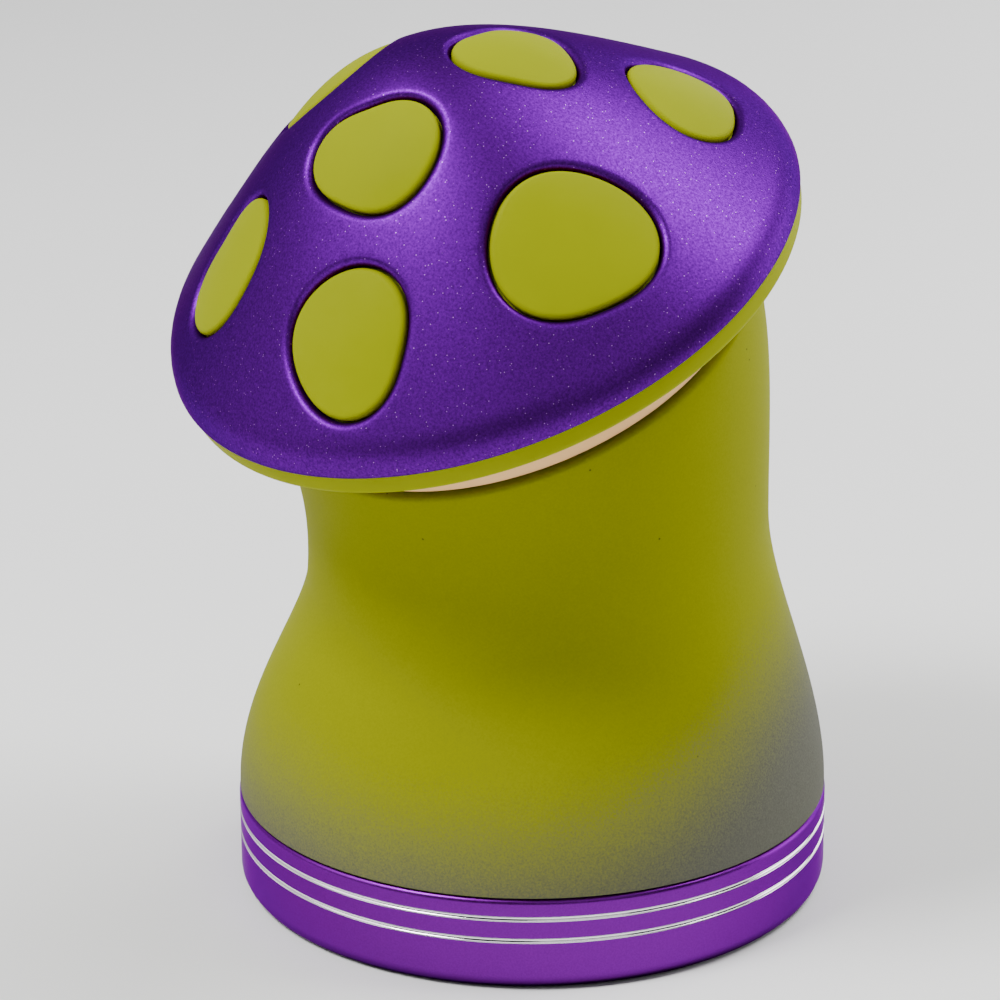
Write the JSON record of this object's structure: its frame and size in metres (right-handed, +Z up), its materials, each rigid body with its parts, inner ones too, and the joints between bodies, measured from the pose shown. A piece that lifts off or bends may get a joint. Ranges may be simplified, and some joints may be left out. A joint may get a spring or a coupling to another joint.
{
  "type": "hand grinder",
  "caption": "Toadstool-shaped hand grinder: spotted cap that turns and lifts off a tilted neck, waisted stem with toothed chamber and sieve, screw-on catch tray.",
  "frame": {"origin": "centre of the base tray's flat underside", "axes": "+Z up along the base's axis; the neck and the cap lean towards -Y, so YZ is the stem's mirror plane"},
  "size_m": [0.0676, 0.0691, 0.0934],
  "materials": {
    "purple_anodised": "satin anodised, with polished grooves",
    "black_rubber": "smooth",
    "bare_aluminium": "turned",
    "machined_aluminium": "milled",
    "woven_steel": "woven wire",
    "spring_steel": "ground",
    "screw_steel": "bright",
    "cover_steel": "brushed",
    "magnet_nickel": "nickel plated",
    "stem_paint": "soft-touch paint, lime fading to grey at the foot",
    "cream_plastic": "satin moulded",
    "purple_paint": "satin metallic paint with fine flake",
    "lime_rim": "satin moulded",
    "lime_spot": "soft matte"
  },
  "bodies": {
    "base": {"base_tray": "purple_anodised", "base_o_ring": "black_rubber"},
    "screen": {"screen_frame": "bare_aluminium", "screen_mesh": "woven_steel", "screen_clip": "spring_steel"},
    "stem": {"stem_shell": "stem_paint", "thread_ring": "bare_aluminium", "neck_ring": "bare_aluminium", "grinding_plate": "machined_aluminium", "plate_screws": "screw_steel", "lower_magnet": "magnet_nickel", "lower_magnet_cover": "cover_steel"},
    "slip_ring": {"slip_ring": "cream_plastic"},
    "cap": {"cap_shell": "purple_paint", "cap_liner": "lime_rim", "cap_core": "bare_aluminium", "cap_plate": "machined_aluminium", "cap_screws": "screw_steel", "upper_magnet": "magnet_nickel", "upper_magnet_cover": "cover_steel", "lower_spot_1": "lime_spot", "lower_spot_2": "lime_spot", "lower_spot_3": "lime_spot", "lower_spot_4": "lime_spot", "lower_spot_5": "lime_spot", "lower_spot_6": "lime_spot", "lower_spot_7": "lime_spot", "upper_spot_1": "lime_spot", "upper_spot_2": "lime_spot", "upper_spot_3": "lime_spot"}
  },
  "joints": [
    {"name": "stem_rise", "type": "slide", "parent": "base", "child": "screen", "axis": [0, 0, 1], "range_m": [0, 0.006]},
    {"name": "stem_turn", "type": "hinge", "parent": "screen", "child": "stem", "pos_m": [0, 0, 0], "axis": [0, 0, 1], "range_deg": [0, 900]},
    {"name": "cap_lift", "type": "slide", "parent": "stem", "child": "slip_ring", "axis": [0, -0.4321, 0.9018], "range_m": [0, 0.016]},
    {"name": "cap_turn", "type": "hinge", "parent": "slip_ring", "child": "cap", "pos_m": [0, -0.0027, 0.0608], "axis": [0, -0.4321, 0.9018], "continuous": true}
  ],
  "couplings": [
    {"joint": "stem_rise", "follows": "stem_turn", "m_per_rad": 0.00038197}
  ]
}
